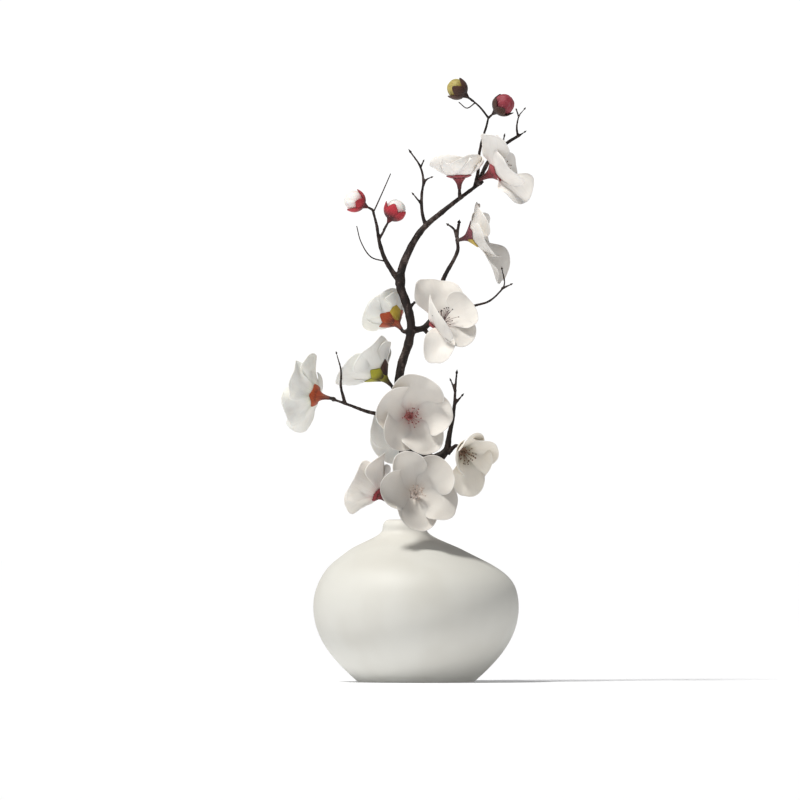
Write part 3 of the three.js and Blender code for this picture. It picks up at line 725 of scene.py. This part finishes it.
def blade(form, look, bowl, seed):
    # a petal or sepal: near its claw it lies in the bloom's bowl, and its end has its own bend
    draw = random.Random(seed)
    length = form["length"] * look.get("length", 1)
    half = form["width"] * look.get("width", 1) / 2
    start, end = (math.radians(angle) for angle in look["open"])
    cup = form["cup"] / half
    closed = max(0, look["open"][0] - bladeForm["steep"])
    bend = ((end - start) or 1e-6) / length
    phase, notch = draw.uniform(0, math.tau), draw.uniform(0, bladeForm["notch"])
    curl, twist = look.get("curl", form["curl"]), look.get("roll", form["roll"])
    twist += math.copysign(closed / 2, twist)
    rolled, freed = ((0, 0.35), (0, 0.3)) if abs(twist) > 30 else ((0.25, 0.85), form["own"])
    bm = bladePlate(form["plate"])

    def rule(co):
        x, across = onDisc(co)
        edge = min(1, math.hypot(x, across))
        angle = math.atan2(across, x)
        wave = bladeForm["wave"] * math.sin(3 * angle + phase)
        dent = notch * math.exp(-((angle / bladeForm["notchWidth"]) ** 2))
        outline = 1 + edge ** 3 * (wave - dent)
        along = (1 + x) / 2 * (1 if form["point"] else outline)
        side = across * half * lerp(form["claw"], 1, smooth(along, 0, 0.6)) * outline
        side *= 1 - form["point"] * smooth(along, 0.4, 1)
        own = smooth(along, *freed)
        roll = math.radians(twist) * smooth(along, *rolled)
        turn = start + bend * length * along
        out = form["clawRadius"] + (math.sin(turn) - math.sin(start)) / bend
        up = (math.cos(start) - math.cos(turn)) / bend
        lean = cup * side * smooth(along, 0.05, 0.6)
        lift = (1 - math.cos(cup * side)) / cup * smooth(along, 0.05, 0.6)
        thin = lerp(0.35, 1, smooth(along, 0.3, 0.6))
        thick = lerp(form["middle"], form["rim"] * thin, smooth(edge, 0.85, 1)) / 2
        groove = math.exp(-((side / bladeForm["creaseWidth"]) ** 2))
        lift -= form["crease"] * groove * smooth(along, 0, 0.25) * (1 - along)
        lift += curl * smooth(edge, 0.8, 1) ** 1.4 * smooth(along, 0.35, 0.7)
        level = lift + co.z * thick * math.cos(lean) + side * math.sin(roll)
        drawn = 1 - bladeForm["drawIn"] * lean * lean
        wide = side * math.cos(roll) * drawn - co.z * thick * math.sin(lean)
        point = Vector((out - level * math.sin(turn), wide, up + level * math.cos(turn)))
        distance = math.hypot(out, side)
        height, slope = bowl(distance)
        level = co.z * thick + form["layer"] * side / half - form["under"]
        inward = level * math.sin(slope) / distance
        shared = Vector((out * (1 - inward), side * (1 - inward), height + level * math.cos(slope)))
        return shared.lerp(point, own)

    reshape(bm, rule)
    return bm


def turned(bm, degrees):
    bmesh.ops.rotate(
        bm, cent=(0, 0, 0), matrix=Matrix.Rotation(math.radians(degrees), 3, "Z"), verts=bm.verts
    )
    return bm


def petalFinish(name):
    # matt, faintly streaked from the claw, with a painted shade line inside a painted highlight along
    # the rim; the subsurface scale is in metres
    tone = petalTones[name]
    finish = Finish(name + "Petal", {
        "Subsurface Weight": tone["glow"], "Subsurface Radius": (1, 0.88, 0.78),
        "Subsurface Scale": 0.0012,
        "Specular IOR Level": 0.3, "Sheen Weight": 0.12, "Sheen Roughness": 0.5,
    })
    along, out = finish.uv()
    streak = finish.grain(0.05, (0.16, 1.3, 1), 3, "UV")
    cloud = finish.grain(7, detail=2)
    claw = 1 - finish.between(along, 0.04, 0.42)
    throat = claw * (0.35 + finish.between(streak, 0.42, 0.62) * 0.5)
    body = finish.mix(throat, tone["body"], tone["throat"])
    vein = finish.between(streak, 0.52, 0.66) * 0.1 + finish.between(cloud, 0.45, 0.75) * 0.08
    body = finish.mix(vein, body, petalMarks["vein"])
    # painted shade: a grey line just inside the petal's edge
    line = finish.between(out, 0.9, 0.935) * (1 - finish.between(out, 0.945, 0.965))
    body = finish.mix(line * 0.12, body, petalMarks["line"])
    # painted highlight: a pale band along the petal's edge
    finish.colour(finish.mix(finish.between(out, 0.955, 0.985) * 0.35, body, petalMarks["rim"]))
    finish.roughness(0.55 + streak * 0.2)
    finish.bump(streak * 0.7 + finish.grain(0.9, detail=2) * 0.25, 0.22, 0.55)
    return finish.material


def makePetals():
    finishes = {name: petalFinish(name) for name in petalTones}
    for number, bloom in enumerate(blooms):
        bowl = bowlOf(petalForm, bloom["open"])
        whole = bmesh.new()
        for i, (angle, changes) in enumerate(bloom["petals"]):
            look = {"open": bloom["open"], "roll": bloom.get("roll", petalForm["roll"]), **changes}
            joinInto(whole, turned(blade(petalForm, look, bowl, number * 10 + i), angle))

        def ripple(co):
            wave = noise.noise(Vector((co.x / 9, co.y / 9, number * 3.7)))
            return co + Vector((0, 0, wave * petalForm["ripple"] * smooth(co.xy.length, 6, 20)))

        reshape(whole, ripple)
        putAt(whole, bloom["at"], bloom["faces"])
        finishPiece(whole, bloom["name"] + "_petals", [finishes[bloom["petal"]]], levels=1)


makePetals()
print("petals made")

sepalTones = {
    "rose": {"base": (0.075, 0.011, 0.012, 1), "tip": (0.33, 0.036, 0.047, 1),
             "pale": (0.5, 0.17, 0.17, 1)},
    "maroon": {"base": (0.05, 0.008, 0.01, 1), "tip": (0.16, 0.014, 0.028, 1),
               "pale": (0.5, 0.22, 0.26, 1)},
    "orange": {"base": (0.1, 0.014, 0.008, 1), "tip": (0.42, 0.06, 0.012, 1),
               "pale": (0.6, 0.24, 0.08, 1)},
    "olive": {"base": (0.035, 0.018, 0.01, 1), "tip": (0.46, 0.44, 0.035, 1),
              "pale": (0.14, 0.09, 0.02, 1)},
    "mustard": {"base": (0.3, 0.2, 0.02, 1), "tip": (0.6, 0.42, 0.05, 1),
                "pale": (0.75, 0.62, 0.2, 1)},
    "red": {"base": (0.06, 0.008, 0.01, 1), "tip": (0.45, 0.02, 0.035, 1),
            "pale": (0.6, 0.12, 0.12, 1)},
    "brown": {"base": (0.02, 0.01, 0.008, 1), "tip": (0.06, 0.022, 0.012, 1),
              "pale": (0.2, 0.07, 0.05, 1)},
}


def sepalFinish(name):
    # dark at the stalk, brighter towards the tip, with pale streaks along it
    tone = sepalTones[name]
    finish = Finish(name + "Sepal", {"Specular IOR Level": 0.4, "Sheen Weight": 0.1})
    along, out = finish.uv()
    streak = finish.grain(0.06, (0.2, 1, 1), 3, "UV")
    body = finish.mix(finish.between(along + streak * 0.3, 0.2, 0.75), tone["base"], tone["tip"])
    body = finish.mix(finish.between(streak, 0.53, 0.68) * 0.55, body, tone["pale"])
    finish.colour(finish.mix(finish.between(out, 0.88, 0.97) * 0.5, body, tone["base"]))
    finish.roughness(0.45 + streak * 0.3)
    finish.bump(streak, 0.2, 0.6)
    return finish.material


sepalFinishes = {name: sepalFinish(name) for name in sepalTones}


def funnel(form, bowl):
    # the cup under a bloom; its UV map runs up it, so that it is dark at the stalk
    stalkRadius, top = form["stalkRadius"], form["topRadius"]
    low = -form["depth"] - form["drop"] - 0.5
    height = bowl(top)[0] - form["under"] - 0.35
    side = [
        (stalkRadius, low), (stalkRadius + 0.1, lerp(low, height, 0.62)),
        (top * 0.72, height - 1.3), (top, height),
    ]
    curve = [bezier(side, step / 10) for step in range(11)]
    bm = spun([(0, low), *curve, (top * 0.85, height - 0.1), (2, -1.3), (0, -1.4)], 25)

    def rule(co):
        angle = math.atan2(co.y, co.x)
        return 0.42 * (co.z - low) / (height - low), 0.5 + 0.4 * math.sin(2 * angle)

    mapUv(bm, rule)
    return bm


def makeCalyces():
    for number, bloom in enumerate(blooms):
        form = {**calyxForm, **bloom.get("calyx", {})}
        bowl = bowlOf(petalForm, bloom["open"])
        whole = funnel(form, bowl)
        odd, oddTone = bloom.get("odd", (-1, bloom["sepal"]))
        for i in range(5):
            length = (form["reach"] - form["clawRadius"]) * 1.2 / form["length"]
            look = {"open": bloom["open"], "length": length}
            sepal = blade(form, look, bowl, number * 10 + i)
            if i == odd:
                for face in sepal.faces:
                    face.material_index = 1
            joinInto(whole, turned(sepal, bloom["petals"][0][0] + 36 + 72 * i))
        putAt(whole, bloom["at"], bloom["faces"])
        materials = [sepalFinishes[bloom["sepal"]], sepalFinishes[oddTone]]
        finishPiece(whole, bloom["name"] + "_calyx", materials, levels=1)


makeCalyces()
print("calyces made")

# every third thread is an inner one, which stands steeper, and a closed bloom has less spread;
# length, inner, outer and foot are drawn at random between their two values
threadForm = {
    "count": 26, "length": (8, 12.5), "radius": 0.15, "sides": 5, "cuts": 6, "anther": 0.42,
    "antherSize": (0.8, 1.25, 0.75), "inner": (4, 16), "outer": (18, 38), "outerLength": 0.86,
    "closedAt": 38, "closing": 0.8, "turn": 137.5, "stray": 9, "foot": (0.3, 1.3), "seat": 0.9,
    "eyeRadius": 2.8, "eyeHeight": 1.1,
}
threadTones = {
    "rosy": {"root": (0.5, 0.17, 0.16, 1), "tip": (0.64, 0.36, 0.34, 1), "anther": (0.3, 0.07, 0.065, 1)},
    "dark": {"root": (0.1, 0.05, 0.05, 1), "tip": (0.22, 0.13, 0.12, 1), "anther": (0.035, 0.02, 0.02, 1)},
    "pale": {"root": (0.7, 0.62, 0.57, 1), "tip": (0.68, 0.6, 0.55, 1), "anther": (0.46, 0.36, 0.3, 1)},
    "brown": {"root": (0.4, 0.27, 0.2, 1), "tip": (0.5, 0.4, 0.32, 1), "anther": (0.13, 0.07, 0.04, 1)},
}


def threadFinish(name):
    # the UV map runs from a thread's root to its anther
    tone = threadTones[name]
    finish = Finish(name + "Stamen", {"Specular IOR Level": 0.3})
    along = finish.uv()[0]
    grit = finish.grain(0.4, detail=2)
    body = finish.mix(finish.between(along, 0.1, 0.8), tone["root"], tone["tip"])
    body = finish.mix(finish.between(along, 0.9, 0.92), body, tone["anther"])
    finish.colour(finish.mix(finish.between(grit, 0.5, 0.7) * 0.3, body, tone["anther"]))
    finish.roughness(0.55 + grit * 0.25)
    finish.bump(grit, 0.08, 0.6)
    return finish.material


def thread(length, tilt):
    # a fine tube that leans out more and more, and ends in an anther
    form = threadForm
    bm = unitTube(form["sides"], form["cuts"])

    def onThread(along):
        # where the thread is and how far it leans there
        lean = math.radians(tilt) * (0.45 + 0.75 * along)
        return Vector((math.sin(lean) * length * along, 0, math.cos(lean) * length * along)), lean

    def rule(co):
        spot, lean = onThread(co.z + 0.5)
        radius = form["radius"] * lerp(1.25, 0.8, co.z + 0.5)
        side = Vector((math.cos(lean), 0, -math.sin(lean)))
        return spot + side * co.x * radius + Vector((0, co.y * radius, 0))

    mapUv(bm, lambda co: ((co.z + 0.5) * 0.86, 0.5))
    reshape(bm, rule)
    head = bmesh.new()
    bmesh.ops.create_uvsphere(head, u_segments=7, v_segments=5, radius=form["anther"])
    mapUv(head, lambda co: (0.97, 0.5))
    bmesh.ops.scale(head, vec=form["antherSize"], verts=head.verts)
    bmesh.ops.translate(head, vec=onThread(1)[0], verts=head.verts)
    joinInto(bm, head)
    return bm


def makeStamens():
    finishes = {name: threadFinish(name) for name in threadTones}
    form = threadForm
    for number, bloom in enumerate(blooms):
        draw = random.Random(number)
        whole = bmesh.new()
        bmesh.ops.create_uvsphere(whole, u_segments=20, v_segments=10, radius=1)
        size = (form["eyeRadius"], form["eyeRadius"], form["eyeHeight"])
        bmesh.ops.scale(whole, vec=size, verts=whole.verts)
        bmesh.ops.translate(whole, vec=(0, 0, 0.2), verts=whole.verts)
        mapUv(whole, lambda co: (0.3 * co.z / form["eyeHeight"], 0.5))
        closed = max(0, bloom["open"][0] - form["closedAt"]) * form["closing"]
        low, high = form["outer"]
        for i in range(form["count"]):
            inner = i % 3 == 0
            tilt = draw.uniform(*form["inner"]) if inner else draw.uniform(low, high - closed)
            length = draw.uniform(*form["length"]) * (1 if inner else form["outerLength"])
            one = thread(length * bloom.get("reach", 1), tilt)
            bmesh.ops.translate(one, vec=(draw.uniform(*form["foot"]), 0, form["seat"]), verts=one.verts)
            joinInto(whole, turned(one, i * form["turn"] + draw.uniform(-form["stray"], form["stray"])))
        putAt(whole, bloom["at"], bloom["faces"])
        finishPiece(whole, bloom["name"] + "_stamens", [finishes[bloom["thread"]]])


makeStamens()
print("stamens made")

ballTones = {
    "white": {"top": (0.88, 0.855, 0.82, 1), "base": (0.74, 0.36, 0.36, 1), "fold": (0.8, 0.69, 0.66, 1)},
    "olive": {"top": (0.45, 0.37, 0.105, 1), "base": (0.3, 0.21, 0.035, 1), "fold": (0.2, 0.12, 0.03, 1)},
    # the crimson bud's pale fold colour is a painted highlight
    "crimson": {"top": (0.28, 0.022, 0.04, 1), "base": (0.16, 0.01, 0.022, 1),
                "fold": (0.46, 0.15, 0.17, 1)},
}


def ballFinish(name):
    # brighter at the top, with streaks in its folds' colour, which on the crimson bud are pale painted
    # highlights; the subsurface scale is in metres
    tone = ballTones[name]
    finish = Finish(name + "Bud", {
        "Subsurface Weight": 0.1, "Subsurface Scale": 0.001, "Sheen Weight": 0.1,
    })
    along = finish.uv()[0]
    streak = finish.grain(0.07, (0.3, 1.3, 1), 2, "UV")
    body = finish.mix(finish.between(along + streak * 0.25, 0.35, 0.8), tone["base"], tone["top"])
    finish.colour(finish.mix(finish.between(streak, 0.5, 0.68) * 0.5, body, tone["fold"]))
    finish.roughness(0.5 + streak * 0.25)
    finish.bump(streak, 0.12, 0.4)
    return finish.material


def budBall(bud):
    # petals still wrapped round each other, each over the edge of the next
    bm = bmesh.new()
    bmesh.ops.create_uvsphere(bm, u_segments=60, v_segments=24, radius=bud["radius"])

    def onMap(co):
        turn = math.atan2(co.y, co.x) / math.tau % 1
        return (co.z / bud["radius"] + 1) / 2, abs(2 * turn - 1)

    def rule(co):
        high = co.z / bud["radius"]
        across = (math.atan2(co.y, co.x) / math.tau * budForm["petals"] + high * budForm["twist"]) % 1
        out = math.hypot(co.x, co.y) / bud["radius"]
        return co * (1 + budForm["fold"] * (across ** 1.5) * smooth(out, 0, 0.5))

    mapUv(bm, onMap)
    reshape(bm, rule)
    return bm


def budSepals(bud):
    # a short foot, and five blades laid on the ball
    form = budForm
    inner = bud["radius"] * (1 + form["fold"]) + form["clearance"]
    back = -budBack(bud) - 0.2
    rise = [(0.8, back), (1, back + 1), (2.3, -inner * 0.98), (3, -inner * 0.84)]
    whole = spun([(0, back), *(bezier(rise, step / 7) for step in range(8)), (0, -inner * 0.8)], 25)
    mapUv(whole, lambda co: (0.1, 0.5))
    draw = random.Random(bud["name"])
    for i in range(5):
        sepal = bladePlate(form["plate"])
        wrap = math.radians(bud["wrap"] + draw.uniform(*form["stray"]))
        width = inner * draw.uniform(*form["width"])
        lift = draw.uniform(*form["lift"])

        def rule(co):
            x, across = onDisc(co)
            along = (1 + x) / 2
            level = lerp(form["start"], wrap, along)
            side = across * width * (1 - form["taper"] * smooth(along, 0.55, 1))
            angle = side / (inner * max(math.sin(level), 0.42))
            far = inner + co.z * form["thickness"] / 2 + form["thickness"] / 2
            far += form["shingle"] * i / 5 + lift * smooth(along, 0.8, 1)
            return far * Vector((
                math.sin(level) * math.cos(angle), math.sin(level) * math.sin(angle), -math.cos(level)
            ))

        reshape(sepal, rule)
        bmesh.ops.recalc_face_normals(sepal, faces=sepal.faces)
        joinInto(whole, turned(sepal, 72 * i + draw.uniform(-6, 6)))
    return whole


def makeBuds():
    finishes = {name: ballFinish(name) for name in ballTones}
    for bud in buds:
        name, kind = bud["name"], bud["ball"]
        ball, sepals = budBall(bud), budSepals(bud)
        putAt(ball, bud["at"], budFacing(bud))
        putAt(sepals, bud["at"], budFacing(bud))
        finishPiece(ball, name + "_petals", [finishes[kind]], levels=1)
        finishPiece(sepals, name + "_calyx", [sepalFinishes[bud["sepal"]]], levels=1)


makeBuds()
print("buds made")

# the studio: metres from here on
studio = {
    "floor": (0.885, 0.895, 0.925, 1), "cloud": (0.87, 0.88, 0.9, 1), "floorGlow": 0.13,
    "floorRadius": 9, "sky": 0.21, "seen": 1.05,
    "sun": {"from": (-0.36, -0.29, 0.88), "angle": 12, "power": 2.9, "colour": (1, 0.985, 0.95)},
    "left": {"at": (-1.4, -1.4, 0.9), "size": 1.6, "power": 5, "colour": (0.98, 0.99, 1)},
    "aim": (-0.01, 0, 0.15),
    "camera": {
        "middle": (-0.0096, 0, 0.1692), "distance": 12, "elevation": 0, "across": 0.48, "sensor": 36,
    },
}


def makeFloor():
    bm = bmesh.new()
    bmesh.ops.create_circle(bm, cap_ends=True, segments=96, radius=studio["floorRadius"])
    floor = addObject(bm, "floor")
    bm.free()
    finish = Finish("paleFloor", {"Specular IOR Level": 0.1})
    soft = finish.grain(60, detail=2)
    finish.colour(finish.mix(soft * 0.1, studio["floor"], studio["cloud"]))
    finish.roughness(0.8 + soft * 0.1)
    finish.shader.inputs["Emission Color"].default_value = (1, 1, 1, 1)
    finish.shader.inputs["Emission Strength"].default_value = studio["floorGlow"]
    floor.data.materials.append(finish.material)


def addLamp(name, kind, back):
    # a lamp that shines against the way that back points
    look = studio[name]
    lamp = bpy.data.lights.new(name, kind)
    lamp.energy, lamp.color = look["power"], look["colour"]
    light = bpy.data.objects.new(name, lamp)
    light.rotation_euler = back.to_track_quat("Z", "Y").to_euler()
    bpy.context.scene.collection.objects.link(light)
    return lamp, light


def makeLights():
    sun = addLamp("sun", "SUN", Vector(studio["sun"]["from"]))[0]
    sun.angle = math.radians(studio["sun"]["angle"])
    left = studio["left"]
    lamp, light = addLamp("left", "AREA", Vector(left["at"]) - Vector(studio["aim"]))
    lamp.shape, lamp.size = "DISK", left["size"]
    light.location = left["at"]


def makeSky():
    # a dim sky that the camera itself sees as white
    world = bpy.data.worlds.new("studio")
    world.use_nodes = True
    tree = world.node_tree
    sky = tree.nodes["Background"]
    path = tree.nodes.new("ShaderNodeLightPath")
    mixer = tree.nodes.new("ShaderNodeMix")
    mixer.inputs[2].default_value, mixer.inputs[3].default_value = studio["sky"], studio["seen"]
    tree.links.new(path.outputs["Is Camera Ray"], mixer.inputs[0])
    tree.links.new(mixer.outputs[0], sky.inputs["Strength"])
    sky.inputs["Color"].default_value = (1, 1, 1, 1)
    bpy.context.scene.world = world
    bpy.context.scene.view_settings.view_transform = "Standard"


def makeCamera():
    look = studio["camera"]
    lens = bpy.data.cameras.new("camera")
    lens.sensor_width = look["sensor"]
    lens.lens = look["sensor"] * look["distance"] / look["across"]
    lens.clip_start, lens.clip_end = 0.05, 50
    camera = bpy.data.objects.new("camera", lens)
    tilt = math.radians(look["elevation"])
    back = Vector((0, -math.cos(tilt), math.sin(tilt)))
    camera.location = Vector(look["middle"]) + back * look["distance"]
    camera.rotation_euler = back.to_track_quat("Z", "Y").to_euler()
    bpy.context.scene.collection.objects.link(camera)
    bpy.context.scene.camera = camera


makeFloor()
makeLights()
makeSky()
makeCamera()
print("studio made")
